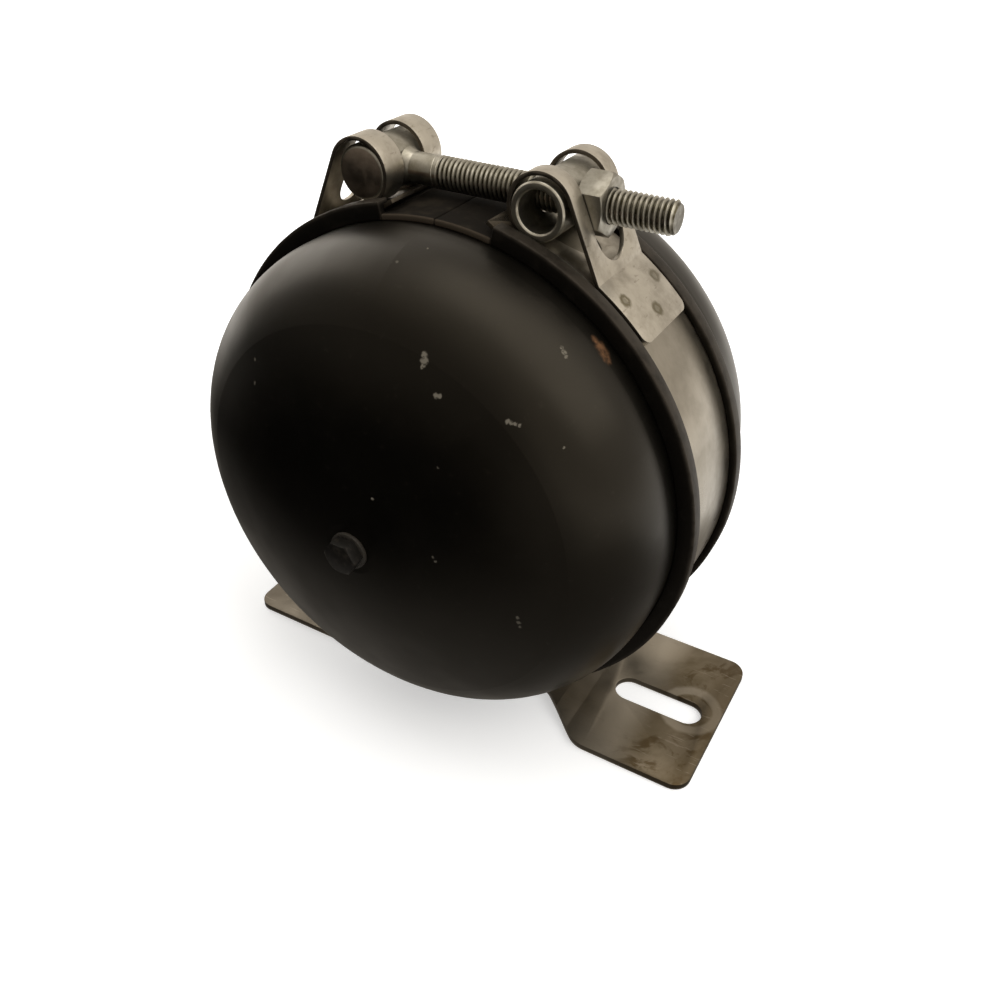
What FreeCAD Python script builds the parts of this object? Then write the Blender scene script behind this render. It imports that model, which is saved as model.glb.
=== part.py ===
import FreeCAD, Part
import math
import os
import re
import Sketcher
from FreeCAD import Placement, Rotation, Vector

# Diaphragm accumulator in a rubber-lined T-bolt band clamp with a bracket foot.
# Millimetres, +Z up. The vessel's axis is Y: gas side towards -Y, fluid port towards +Y.
# The origin is the centre of the bracket's two slots, on the underside of its feet.

doc = FreeCAD.newDocument("accumulator")
sheet = doc.addObject("Spreadsheet::Sheet", "Size")

# Driving dimensions, in millimetres and degrees
DRIVING = {
    # vessel
    "body_radius": 67.5,
    "body_half_depth": 59.5,
    "body_straight": 24.0,
    "knuckle_radius": 26.0,
    "shell_wall": 5.0,
    "weld_plane": 6.0,
    "clamp_offset": 2.0,
    # charging screw on the gas side
    "screw_flats": 10.0,
    "screw_head": 4.0,
    "screw_hole": 6.0,
    "screw_boss": 16.0,
    "screw_boss_depth": 4.0,
    "seal_diameter": 12.0,
    "seal_height": 1.0,
    "seat_margin": 1.0,
    "thread_fit": 0.1,
    # port on the fluid side
    "port_neck": 26.0,
    "port_weld": 3.5,
    "port_stand": 2.5,
    "port_flats": 36.0,
    "port_hex_length": 18.0,
    "port_thread": 18.6,
    "port_thread_depth": 15.0,
    "port_passage": 12.0,
    # diaphragm, its ring and its button
    "ring_width": 12.0,
    "ring_height": 5.0,
    "bead_width": 4.0,
    "bead_height": 3.0,
    "diaphragm_wall": 2.5,
    "button_diameter": 22.0,
    "button_seat_margin": 1.0,
    "stud_diameter": 6.0,
    "rivet_diameter": 12.0,
    "rivet_height": 1.5,
    # rubber liner and band
    "liner_base": 1.5,
    "liner_side": 2.0,
    "liner_lip": 2.0,
    "liner_lip_reach": 2.0,
    "liner_round": 0.9,
    "lip_margin_angle": 0.5,
    "liner_joint": 0.8,
    "band_width": 30.0,
    "band_thickness": 1.0,
    "band_gap_angle": 15.0,
    "tail_bend_radius": 5.0,
    "tail_turn": 20.0,
    "tail_length": 4.0,
    "notch_clearance": 2.0,
    "notch_margin": 1.6,
    # loop straps
    "strap_width": 24.0,
    "strap_thickness": 1.0,
    "loop_clearance": 0.55,
    "fold_angle": 33.9,
    "tab_end_angle": 47.4,
    "tab_corner": 2.5,
    "window_margin": 2.2,
    "window_clearance": 0.3,
    "rod_clearance": 0.6,
    # T-bolt, barrel and nut
    "trunnion_reach": 24.4,
    "trunnion_diameter": 13.5,
    "trunnion_chamfer": 0.8,
    "head_length": 22.0,
    "barrel_length": 25.6,
    "barrel_bore": 9.8,
    "bolt_diameter": 8.0,
    "bolt_reach": 52.5,
    "bolt_chamfer": 1.0,
    "bolt_clearance": 0.3,
    "nut_flats": 13.0,
    "nut_height": 6.5,
    "spot_face": 0.75,
    "spot_margin": 1.0,
    # bracket foot
    "plate_thickness": 2.0,
    "plate_step": 1.0,
    "bracket_length": 151.4,
    "bracket_width": 54.0,
    "bracket_offset": 7.4,
    "pad_length": 33.7,
    "neck_run": 16.0,
    "neck_width": 25.6,
    "neck_blend": 8.0,
    "pad_corner": 5.0,
    "step_start": 32.0,
    "step_run": 6.0,
    "step_blend": 2.0,
    "slot_width": 9.0,
    "slot_length": 27.0,
    "slot_margin": 5.2,
}

# Sizes that follow from the driving ones
FOLLOWING = {
    "crown_height": "body_half_depth - body_straight",
    "crown_radius": "(crown_height^2 + (body_radius - knuckle_radius)^2 - knuckle_radius^2)"
                    " / (2 * (crown_height - knuckle_radius))",
    "crown_centre": "crown_radius - body_half_depth",
    "bend_cosine": "(body_straight + crown_centre) / (crown_radius - knuckle_radius)",
    "bend_sine": "(body_radius - knuckle_radius) / (crown_radius - knuckle_radius)",
    "inner_radius": "body_radius - shell_wall",
    "base_outer": "body_radius + liner_base",
    "band_outer": "base_outer + band_thickness",
    "lip_outer": "band_outer + liner_lip",
    "liner_half": "band_width / 2 + liner_side",
    "liner_gap_angle": "2 * (band_gap_angle + lip_margin_angle)",
    "leg_top": "band_outer + strap_thickness",
    "tab_top": "leg_top + strap_thickness",
    "trunnion_radius": "trunnion_diameter / 2",
    "trunnion_distance": "leg_top + trunnion_radius",
    "trunnion_height": "sqrt(trunnion_distance^2 - trunnion_reach^2)",
    "loop_inner": "trunnion_radius + loop_clearance",
    "loop_outer": "loop_inner + strap_thickness",
    "loop_across": "trunnion_reach * (leg_top + loop_inner) / trunnion_distance",
    "loop_up": "trunnion_height * (leg_top + loop_inner) / trunnion_distance",
    "nut_window": "nut_flats + 2 * window_clearance",
    "rod_window": "bolt_diameter + 2 * rod_clearance",
    "axis_height": "band_outer + plate_thickness + plate_step",
    "slot_spacing": "bracket_length - 2 * slot_margin - slot_length",
}


def bind(text):
    """Writes each named size in a formula as a cell of the sheet. Every name holds an underscore."""
    return re.sub(r"[a-z]+(_[a-z]+)+", lambda word: "Size." + word.group(0), text)


def value(text):
    """Works a formula out to a number."""
    result = sheet.evalExpression(bind(text))
    return float(getattr(result, "Value", result))


def fill_sheet():
    row = 0
    for name, number in DRIVING.items():
        row += 1
        unit = " deg" if name.endswith(("_angle", "_turn")) else ""
        sheet.set(f"A{row}", name)
        sheet.set(f"B{row}", f"={number} deg" if unit else str(number))
        sheet.setAlias(f"B{row}", name)
    for name, formula in FOLLOWING.items():
        row += 1
        sheet.set(f"A{row}", name)
        sheet.set(f"B{row}", "=" + formula)
        sheet.setAlias(f"B{row}", name)
    doc.recompute()


def minus(text):
    return f"-({text})"


# Sketch helpers: every corner of an outline is a pair of formulas

def corner(across, up, blend=None):
    """The end of a straight edge, rounded where a blend radius is given."""
    return {"at": (across, up), "blend": blend, "arc": None}


def arc_to(across, up, radius, centre, left_turn):
    """The end of an arc round a centre, turning left (anticlockwise) or right."""
    return {"at": (across, up), "blend": None, "arc": (radius, centre, left_turn)}


def point(pair):
    return Vector(value(pair[0]), value(pair[1]), 0)


def draw_arc(sketch, start, end, centre, left_turn):
    """Adds an arc and returns its index with the numbers of its start and end points."""
    first, last = (start, end) if left_turn else (end, start)
    angle_first = math.atan2(first.y - centre.y, first.x - centre.x)
    angle_last = math.atan2(last.y - centre.y, last.x - centre.x)
    if angle_last <= angle_first:
        angle_last += 2 * math.pi
    circle = Part.Circle(centre, Vector(0, 0, 1), (start - centre).Length)
    index = sketch.addGeometry(Part.ArcOfCircle(circle, angle_first, angle_last), False)
    return (index, 1, 2) if left_turn else (index, 2, 1)


def constrain(sketch, *terms, formula=None):
    """Adds a constraint, and ties its value to a formula where one is given."""
    if formula is not None:
        terms = terms + (value(formula),)
    index = sketch.addConstraint(Sketcher.Constraint(*terms))
    if formula is not None and re.search("[a-z]", formula):
        sketch.setExpression(f"Constraints[{index}]", bind(formula))


def pin_point(sketch, edge, number, pair):
    constrain(sketch, "DistanceX", edge, number, formula=pair[0])
    constrain(sketch, "DistanceY", edge, number, formula=pair[1])


def size_arc(sketch, arc, chord, radius, centre):
    """Fixes an arc between its two ends: by its radius, or by its centre where it is a half circle."""
    if chord.Length < 1.999 * value(radius):
        constrain(sketch, "Radius", arc, formula=radius)
    elif abs(chord.x) > abs(chord.y):
        constrain(sketch, "DistanceY", arc, 3, formula=centre[1])
    else:
        constrain(sketch, "DistanceX", arc, 3, formula=centre[0])


def blend_ends(before, here, after, radius):
    """Where a blend arc leaves its two straight edges, and its centre."""
    back = (before - here).normalize()
    ahead = (after - here).normalize()
    half_angle = back.getAngle(ahead) / 2
    reach = radius / math.tan(half_angle)
    towards_centre = (back + ahead).normalize()
    centre = here + towards_centre * (radius / math.sin(half_angle))
    return here + back * reach, here + ahead * reach, centre


def outline(sketch, corners):
    """Draws one closed outline, tied to its formulas at every corner."""
    count = len(corners)
    at = [point(item["at"]) for item in corners]
    enter = list(at)
    leave = list(at)
    middle = [None] * count
    for i, item in enumerate(corners):
        if item["blend"]:
            radius = value(item["blend"])
            enter[i], leave[i], middle[i] = blend_ends(at[i - 1], at[i], at[(i + 1) % count], radius)
    edges = []
    for i, item in enumerate(corners):
        if item["arc"]:
            radius, centre, left_turn = item["arc"]
            edges.append(draw_arc(sketch, leave[i - 1], enter[i], point(centre), left_turn))
            size_arc(sketch, edges[-1][0], enter[i] - leave[i - 1], radius, centre)
        else:
            line = Part.LineSegment(leave[i - 1], enter[i])
            edges.append((sketch.addGeometry(line, False), 1, 2))
    for i, item in enumerate(corners):
        edge, _, end = edges[i]
        following, start, _ = edges[(i + 1) % count]
        if item["blend"]:
            back = enter[i] - middle[i]
            ahead = leave[i] - middle[i]
            left_turn = back.cross(ahead).z > 0
            bend, first, last = draw_arc(sketch, enter[i], leave[i], middle[i], left_turn)
            constrain(sketch, "Tangent", edge, end, bend, first)
            constrain(sketch, "Tangent", bend, last, following, start)
            constrain(sketch, "Radius", bend, formula=item["blend"])
            mark = sketch.addGeometry(Part.Point(at[i]), True)
            pin_point(sketch, mark, 1, item["at"])
            constrain(sketch, "PointOnObject", mark, 1, edge)
            constrain(sketch, "PointOnObject", mark, 1, following)
        else:
            constrain(sketch, "Coincident", edge, end, following, start)
            pin_point(sketch, edge, end, item["at"])


def rectangle(left, right, bottom, top):
    return [corner(left, bottom), corner(right, bottom), corner(right, top), corner(left, top)]


def obround(centre, half_run, radius):
    """A slot with round ends along the first direction, centred on the second direction's zero."""
    left = f"{centre} - ({half_run})"
    right = f"{centre} + ({half_run})"
    below = minus(radius)
    return [corner(right, below), arc_to(right, radius, radius, (right, "0"), True),
            corner(left, radius), arc_to(left, below, radius, (left, "0"), True)]


# Body helpers

def place(thing, x="0", y="0", z="0", turn=None):
    """Puts a body or a primitive at a place given by formulas."""
    thing.Placement = Placement(Vector(value(x), value(y), value(z)), turn or Rotation())
    for axis, formula in (("x", x), ("y", y), ("z", z)):
        if re.search("[a-z]", formula):
            thing.setExpression(f"Placement.Base.{axis}", bind(formula))


def new_body(label, x="0", y="0", z="0"):
    body = doc.addObject("PartDesign::Body", label)
    body.Label = label
    place(body, x, y, z)
    return body


def sketch_on(body, name, role, offset=None):
    """A sketch on one of the body's own origin planes, or at an offset from it."""
    sketch = body.newObject("Sketcher::SketchObject", name)
    plane = next(item for item in body.Origin.OriginFeatures if item.Role == role)
    sketch.AttachmentSupport = [(plane, "")]
    sketch.MapMode = "FlatFace"
    if offset:
        sketch.AttachmentOffset = Placement(Vector(0, 0, value(offset)), Rotation())
        sketch.setExpression("AttachmentOffset.Base.z", bind(offset))
    return sketch


def revolve(body, name, role, corners):
    """Turns an outline round the first axis of its plane."""
    sketch = sketch_on(body, name + "_outline", role)
    outline(sketch, corners)
    turned = body.newObject("PartDesign::Revolution", name)
    turned.Profile = sketch
    turned.ReferenceAxis = (sketch, ["H_Axis"])
    turned.Angle = 360
    return turned


def pad(body, name, role, outlines, length):
    """Extrudes outlines to both sides of their plane."""
    sketch = sketch_on(body, name + "_outline", role)
    for corners in outlines:
        outline(sketch, corners)
    thick = body.newObject("PartDesign::Pad", name)
    thick.Profile = sketch
    thick.SideType = "Symmetric"
    thick.setExpression("Length", bind(length))
    return thick


def cut_through(body, name, role, corners, both_sides=False, offset=None):
    """Cuts an outline through everything on the side that its plane faces, or on both sides."""
    sketch = sketch_on(body, name + "_outline", role, offset)
    outline(sketch, corners)
    pocket = body.newObject("PartDesign::Pocket", name)
    pocket.Profile = sketch
    pocket.Type = "ThroughAll"
    if both_sides:
        pocket.SideType = "Symmetric"
    else:
        pocket.Reversed = True
    return pocket


def hexagonal(label, turned, flats, length, start, turn):
    """Gives a turned body its flats: the part of it inside a six-sided prism."""
    prism = doc.addObject("Part::Prism", label + "_prism")
    prism.Polygon = 6
    prism.setExpression("Circumradius", bind(f"{flats} / sqrt(3)"))
    prism.setExpression("Height", bind(length))
    place(prism, *start, turn=turn)
    hexagon = doc.addObject("Part::Common", label)
    hexagon.Label = label
    hexagon.Base = turned
    hexagon.Tool = prism
    return hexagon


# Vessel: curves shared by the shells and the diaphragm

VESSEL = ("-bracket_offset", "clamp_offset", "axis_height")
KNUCKLE_CENTRE = "body_radius - knuckle_radius"


def crown_at(inset, radius):
    """Distance from the vessel's middle to the crown, this far inside its outer face."""
    return f"sqrt((crown_radius - ({inset}))^2 - ({radius})^2) - crown_centre"


def bend_end(inset):
    """Where the knuckle's arc meets the crown's arc, this far inside the outer face."""
    across = f"body_straight + (knuckle_radius - ({inset})) * bend_cosine"
    return across, f"{KNUCKLE_CENTRE} + (knuckle_radius - ({inset})) * bend_sine"


def gas_shell():
    """Deep-drawn front shell, with a thickened boss and a flat seat for the charging screw."""
    body = new_body("gas_shell", *VESSEL)
    seat_radius = "seal_diameter / 2 + seat_margin"
    seat = crown_at("0", seat_radius)
    boss_end = f"{seat} - shell_wall - screw_boss_depth"
    bend, bend_up = bend_end("0")
    inner_bend, inner_bend_up = bend_end("shell_wall")
    knuckle = ("-body_straight", KNUCKLE_CENTRE)
    crown = ("crown_centre", "0")
    inner_crown = "crown_radius - shell_wall"
    revolve(body, "front_shell", "YZ_Plane", [
        corner("weld_plane", "inner_radius"),
        corner("weld_plane", "body_radius"),
        corner("-body_straight", "body_radius"),
        arc_to(minus(bend), bend_up, "knuckle_radius", knuckle, True),
        arc_to(minus(seat), seat_radius, "crown_radius", crown, True),
        corner(minus(seat), "screw_hole / 2"),
        corner(minus(boss_end), "screw_hole / 2"),
        corner(minus(boss_end), "screw_boss / 2"),
        corner(minus(crown_at("shell_wall", "screw_boss / 2")), "screw_boss / 2"),
        arc_to(minus(inner_bend), inner_bend_up, inner_crown, crown, False),
        arc_to("-body_straight", "inner_radius", "knuckle_radius - shell_wall", knuckle, False),
    ])
    return body


def fluid_shell():
    """Deep-drawn back shell, butt-welded to the front one under the clamp."""
    body = new_body("fluid_shell", *VESSEL)
    bend, bend_up = bend_end("0")
    inner_bend, inner_bend_up = bend_end("shell_wall")
    knuckle = ("body_straight", KNUCKLE_CENTRE)
    crown = ("-crown_centre", "0")
    neck = "port_neck / 2"
    revolve(body, "back_shell", "YZ_Plane", [
        corner("weld_plane", "inner_radius"),
        corner("weld_plane", "body_radius"),
        corner("body_straight", "body_radius"),
        arc_to(bend, bend_up, "knuckle_radius", knuckle, False),
        arc_to(crown_at("0", neck), neck, "crown_radius", crown, False),
        corner(crown_at("shell_wall", neck), neck),
        arc_to(inner_bend, inner_bend_up, "crown_radius - shell_wall", crown, True),
        arc_to("body_straight", "inner_radius", "knuckle_radius - shell_wall", knuckle, True),
    ])
    return body


def charging_screw():
    """Small hexagon-head screw that closes the gas side."""
    turned = new_body("charging_screw_blank", *VESSEL)
    seat = crown_at("0", "seal_diameter / 2 + seat_margin")
    shank = "screw_hole / 2 - thread_fit"
    under_head = f"{seat} + seal_height"
    head_top = f"{under_head} + screw_head"
    tip = f"{seat} - shell_wall - screw_boss_depth - thread_fit"
    face = "screw_flats / 2"
    corner_radius = "screw_flats / sqrt(3)"
    chamfer = "(screw_flats / sqrt(3) - screw_flats / 2) / sqrt(3)"
    revolve(turned, "screw_turned", "YZ_Plane", [
        corner(minus(tip), "0"),
        corner(minus(tip), shank),
        corner(minus(under_head), shank),
        corner(minus(under_head), corner_radius),
        corner(minus(f"{head_top} - {chamfer}"), corner_radius),
        corner(minus(head_top), face),
        corner(minus(head_top), "0"),
    ])
    start = ("-bracket_offset", f"clamp_offset - ({head_top}) - thread_fit", "axis_height")
    length = f"2 * thread_fit + {head_top} - ({tip})"
    return hexagonal("charging_screw", turned, "screw_flats", length, start,
                     Rotation(Vector(1, 0, 0), -90))


def charging_screw_seal():
    """Flat sealing washer under the charging screw's head."""
    body = new_body("charging_screw_seal", *VESSEL)
    seat = crown_at("0", "seal_diameter / 2 + seat_margin")
    revolve(body, "seal_ring", "YZ_Plane", rectangle(
        minus(f"{seat} + seal_height"), minus(seat), "screw_hole / 2", "seal_diameter / 2"))
    return body


def port_face():
    """The port's inner face, where the button closes it."""
    return crown_at("shell_wall", "port_neck / 2")


def fluid_port():
    """Port adapter with a threaded bore, welded into the back shell."""
    turned = new_body("fluid_port_blank", *VESSEL)
    shell_face = crown_at("0", "port_neck / 2")
    hex_start = f"{shell_face} + port_stand"
    hex_end = f"{hex_start} + port_hex_length"
    face = "port_flats / 2"
    corner_radius = "port_flats / sqrt(3)"
    chamfer = "(port_flats / sqrt(3) - port_flats / 2) / sqrt(3)"
    bore = "port_thread / 2"
    passage = "port_passage / 2"
    drill_point = "(port_thread - port_passage) / 2 / sqrt(3)"
    revolve(turned, "port_turned", "YZ_Plane", [
        corner(port_face(), passage),
        corner(port_face(), "port_neck / 2"),
        corner(shell_face, "port_neck / 2"),
        corner(shell_face, "port_neck / 2 + port_weld"),
        corner(hex_start, "port_neck / 2 + port_weld / 2"),
        corner(hex_start, face),
        corner(f"{hex_start} + {chamfer}", corner_radius),
        corner(f"{hex_end} - {chamfer}", corner_radius),
        corner(hex_end, face),
        corner(hex_end, bore),
        corner(f"{hex_end} - port_thread_depth", bore),
        corner(f"{hex_end} - port_thread_depth - {drill_point}", passage),
    ])
    start = ("-bracket_offset", f"clamp_offset + {port_face()} - thread_fit", "axis_height")
    length = f"2 * thread_fit + {hex_end} - ({port_face()})"
    return hexagonal("fluid_port", turned, "port_flats", length, start,
                     Rotation(Vector(1, 0, 0), -90))


# Diaphragm, held inside the weld and closing the port with its button

DIAPHRAGM_OUTER = "shell_wall + ring_height"
DIAPHRAGM_INNER = "shell_wall + ring_height + diaphragm_wall"
BUTTON_SEAT = "button_diameter / 2 + button_seat_margin"


def diaphragm_ring():
    """Steel ring with a groove for the diaphragm's bead, pressed in across the weld."""
    body = new_body("diaphragm_ring", *VESSEL)
    bottom = "inner_radius - ring_height"
    groove = "inner_radius - ring_height + bead_height"
    revolve(body, "bead_ring", "YZ_Plane", [
        corner("weld_plane - ring_width / 2", bottom),
        corner("weld_plane - bead_width / 2", bottom),
        corner("weld_plane - bead_width / 2", groove),
        corner("weld_plane + bead_width / 2", groove),
        corner("weld_plane + bead_width / 2", bottom),
        corner("weld_plane + ring_width / 2", bottom),
        corner("weld_plane + ring_width / 2", "inner_radius"),
        corner("weld_plane - ring_width / 2", "inner_radius"),
    ])
    return body


def diaphragm():
    """Moulded rubber cup between gas and fluid, drawn as it lies with no fluid pressure."""
    body = new_body("diaphragm", *VESSEL)
    wall = "inner_radius - ring_height"
    bead = "inner_radius - ring_height + bead_height"
    outer_bend, outer_bend_up = bend_end(DIAPHRAGM_OUTER)
    inner_bend, inner_bend_up = bend_end(DIAPHRAGM_INNER)
    outer_pad = crown_at(DIAPHRAGM_OUTER, BUTTON_SEAT)
    inner_pad = crown_at(DIAPHRAGM_INNER, BUTTON_SEAT)
    knuckle = ("body_straight", KNUCKLE_CENTRE)
    crown = ("-crown_centre", "0")
    revolve(body, "rubber_cup", "YZ_Plane", [
        corner("weld_plane - bead_width / 2", f"{wall} - diaphragm_wall"),
        corner("weld_plane - bead_width / 2", bead),
        corner("weld_plane + bead_width / 2", bead),
        corner("weld_plane + bead_width / 2", wall),
        corner("body_straight", wall),
        arc_to(outer_bend, outer_bend_up, f"knuckle_radius - ({DIAPHRAGM_OUTER})", knuckle, False),
        arc_to(outer_pad, BUTTON_SEAT, f"crown_radius - ({DIAPHRAGM_OUTER})", crown, False),
        corner(outer_pad, "stud_diameter / 2"),
        corner(inner_pad, "stud_diameter / 2"),
        corner(inner_pad, BUTTON_SEAT),
        arc_to(inner_bend, inner_bend_up, f"crown_radius - ({DIAPHRAGM_INNER})", crown, True),
        arc_to("body_straight", f"{wall} - diaphragm_wall",
               f"knuckle_radius - ({DIAPHRAGM_INNER})", knuckle, True),
    ])
    return body


def closing_button():
    """Turned button, riveted through the diaphragm, which covers the port's mouth."""
    body = new_body("closing_button", *VESSEL)
    outer_pad = crown_at(DIAPHRAGM_OUTER, BUTTON_SEAT)
    inner_pad = crown_at(DIAPHRAGM_INNER, BUTTON_SEAT)
    revolve(body, "button_turned", "YZ_Plane", [
        corner(f"{inner_pad} - rivet_height", "0"),
        corner(port_face(), "0"),
        corner(port_face(), "button_diameter / 2"),
        corner(outer_pad, "button_diameter / 2"),
        corner(outer_pad, "stud_diameter / 2"),
        corner(inner_pad, "stud_diameter / 2"),
        corner(inner_pad, "rivet_diameter / 2"),
        corner(f"{inner_pad} - rivet_height", "rivet_diameter / 2"),
    ])
    return body


# Clamp: rubber liner, stainless band and its two loops

CLAMP = ("-bracket_offset", "0", "axis_height")


def rubber_liner():
    """Rubber channel round the vessel: its lips hold the band's edges, and it is cut at the top."""
    body = new_body("rubber_liner", *CLAMP)
    half = "liner_half"
    edge = "band_width / 2"
    hook = "band_width / 2 - liner_lip_reach"
    revolve(body, "channel", "YZ_Plane", [
        corner(minus(half), "body_radius"),
        corner(half, "body_radius"),
        corner(half, "lip_outer", "liner_round"),
        corner(hook, "lip_outer"),
        corner(hook, "band_outer"),
        corner(edge, "band_outer"),
        corner(edge, "base_outer"),
        corner(minus(edge), "base_outer"),
        corner(minus(edge), "band_outer"),
        corner(minus(hook), "band_outer"),
        corner(minus(hook), "lip_outer"),
        corner(minus(half), "lip_outer", "liner_round"),
    ])
    sketch = sketch_on(body, "lip_gap_outline", "YZ_Plane")
    beyond = "liner_half + liner_lip"
    outline(sketch, rectangle(minus(beyond), beyond, "base_outer", "lip_outer + liner_lip"))
    gap = body.newObject("PartDesign::Groove", "lip_gap")
    gap.Profile = sketch
    gap.ReferenceAxis = (sketch, ["H_Axis"])
    gap.Midplane = True
    gap.setExpression("Angle", bind("liner_gap_angle"))
    cut_through(body, "butt_joint", "XY_Plane", rectangle(
        "-liner_joint / 2", "liner_joint / 2", minus(beyond), beyond))
    return body


def round_vessel(radius, angle, side):
    """A point at this radius and angle from the top, on the right (1) or left (-1) side."""
    across = f"({radius}) * sin({angle})"
    return (across if side > 0 else minus(across)), f"({radius}) * cos({angle})"


def tail_point(depth, side, ahead="0"):
    """A point on a band end past its bend, this deep in the sheet and this far ahead."""
    turn = "(band_gap_angle + tail_turn)"
    centre = "(band_outer + tail_bend_radius)"
    across = (f"{centre} * sin(band_gap_angle) - (tail_bend_radius + {depth}) * sin{turn}"
              f" - {ahead} * cos{turn}")
    up = (f"{centre} * cos(band_gap_angle) - (tail_bend_radius + {depth}) * cos{turn}"
          f" + {ahead} * sin{turn}")
    return (across if side > 0 else minus(across)), up


def clamp_band():
    """Stainless strip rolled to a ring, with both ends turned up and notched for the bolt."""
    body = new_body("clamp_band", *CLAMP)
    sheet_depth = "band_thickness"
    middle = ("0", "0")
    right_bend = round_vessel("band_outer + tail_bend_radius", "band_gap_angle", 1)
    left_bend = round_vessel("band_outer + tail_bend_radius", "band_gap_angle", -1)
    outer_bend = "tail_bend_radius"
    inner_bend = "tail_bend_radius + band_thickness"
    strip = [
        arc_to(*round_vessel("band_outer", "band_gap_angle", 1), outer_bend, right_bend, True),
        arc_to(*round_vessel("band_outer", "band_gap_angle", -1), "band_outer", middle, False),
        arc_to(*tail_point("0", -1), outer_bend, left_bend, True),
        corner(*tail_point("0", -1, "tail_length")),
        corner(*tail_point(sheet_depth, -1, "tail_length")),
        corner(*tail_point(sheet_depth, -1)),
        arc_to(*round_vessel("base_outer", "band_gap_angle", -1), inner_bend, left_bend, False),
        arc_to(*round_vessel("base_outer", "band_gap_angle", 1), "base_outer", middle, True),
        arc_to(*tail_point(sheet_depth, 1), inner_bend, right_bend, False),
        corner(*tail_point(sheet_depth, 1, "tail_length")),
        corner(*tail_point("0", 1, "tail_length")),
        corner(*tail_point("0", 1)),
    ]
    pad(body, "rolled_strip", "XZ_Plane", [strip], "band_width")
    notch_half = "bolt_diameter / 2 + notch_clearance"
    notch_reach = "band_outer * sin(band_gap_angle) - notch_margin"
    cut_through(body, "bolt_notch", "XY_Plane", rectangle(
        minus(notch_reach), notch_reach, minus(notch_half), notch_half))
    return body


def leg_numbers():
    """Cells for the outer leg: it leaves the loop where it is tangent and meets the tab at its fold."""
    row = len(DRIVING) + len(FOLLOWING) + 2
    cells = {
        "trunnion_angle": "asin(trunnion_reach / trunnion_distance)",
        "fold_across": "tab_top * sin(fold_angle) - loop_across",
        "fold_up": "tab_top * cos(fold_angle) - loop_up",
        "leg_angle": "acos(loop_outer / sqrt(fold_across^2 + fold_up^2)) + atan(fold_up / fold_across)",
        "start_across": "loop_across + loop_inner * cos(leg_angle)",
        "start_up": "loop_up + loop_inner * sin(leg_angle)",
        "start_along": "start_across * sin(leg_angle) - start_up * cos(leg_angle)",
        "leg_length": "-start_along - sqrt(start_along^2 - start_across^2 - start_up^2 + leg_top^2)",
    }
    for offset, (name, formula) in enumerate(cells.items()):
        sheet.set(f"A{row + offset}", name)
        sheet.set(f"B{row + offset}", "=" + formula)
        sheet.setAlias(f"B{row + offset}", name)
    doc.recompute()


def loop_strap(label, width):
    """Strip folded round a trunnion, with both its legs on the band and a window this wide."""
    body = new_body(label, *CLAMP)
    middle = ("0", "0")
    loop = ("loop_across", "loop_up")
    around = "loop_across + ({0}) * cos(leg_angle)", "loop_up + ({0}) * sin(leg_angle)"
    leave_outer = tuple(text.format("loop_outer") for text in around)
    leave_inner = tuple(text.format("loop_inner") for text in around)
    inner_fold = ("start_across + leg_length * sin(leg_angle)", "start_up - leg_length * cos(leg_angle)")
    outside = [
        corner(*round_vessel("tab_top", "tab_end_angle", 1)),
        arc_to(*round_vessel("tab_top", "fold_angle", 1), "tab_top", middle, True),
        corner(*leave_outer),
        arc_to(*round_vessel("band_outer", "trunnion_angle", 1), "loop_outer", loop, True),
        arc_to(*round_vessel("band_outer", "tab_end_angle", 1), "band_outer", middle, False),
    ]
    inside = [
        corner(*inner_fold),
        arc_to(*round_vessel("leg_top", "trunnion_angle", 1), "leg_top", middle, True),
        arc_to(*leave_inner, "loop_inner", loop, False),
    ]
    pad(body, label + "_strip", "XZ_Plane", [outside, inside], "strap_width")
    half = f"{width} / 2"
    low = f"tab_top * cos(fold_angle) + window_margin + {width} / 2"
    high = "trunnion_height + trunnion_diameter"
    window = cut_through(body, label + "_window", "YZ_Plane", [
        corner(minus(half), low),
        arc_to(half, low, half, ("0", low), True),
        corner(half, high),
        corner(minus(half), high),
    ])
    doc.recompute()
    rounded = body.newObject("PartDesign::Fillet", label + "_corners")
    rounded.Base = (window, tab_edges(window.Shape))
    rounded.setExpression("Radius", bind("tab_corner"))
    return body


def right_loop_strap():
    """Slotted strip folded round the barrel, with a window for the nut, spot-welded to the band."""
    return loop_strap("right_loop_strap", "nut_window")


def left_loop_strap():
    """The same on the other side, folded round the T-bolt's head, with a narrower window for the rod."""
    mirrored = doc.addObject("Part::Mirroring", "left_loop_strap")
    mirrored.Label = "left_loop_strap"
    mirrored.Source = loop_strap("rod_side_strap", "rod_window")
    mirrored.Normal = Vector(1, 0, 0)
    mirrored.Base = Vector(value("-bracket_offset"), 0, 0)
    mirrored.setExpression("Base.x", bind("-bracket_offset"))
    return mirrored


def tab_edges(shape):
    """The two short radial edges at the tab's free end."""
    across, up = round_vessel("(band_outer + tab_top) / 2", "tab_end_angle", 1)
    end = Vector(value(across), 0, value(up))
    half_width = value("strap_width / 2")
    names = []
    for number, edge in enumerate(shape.Edges, start=1):
        middle = edge.CenterOfMass
        at_end = math.hypot(middle.x - end.x, middle.z - end.z) < 0.01
        if at_end and abs(abs(middle.y) - half_width) < 0.01:
            names.append(f"Edge{number}")
    return names


# Closure: T-bolt, barrel and nut

CLOSURE_HEIGHT = "axis_height + trunnion_height"


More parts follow.
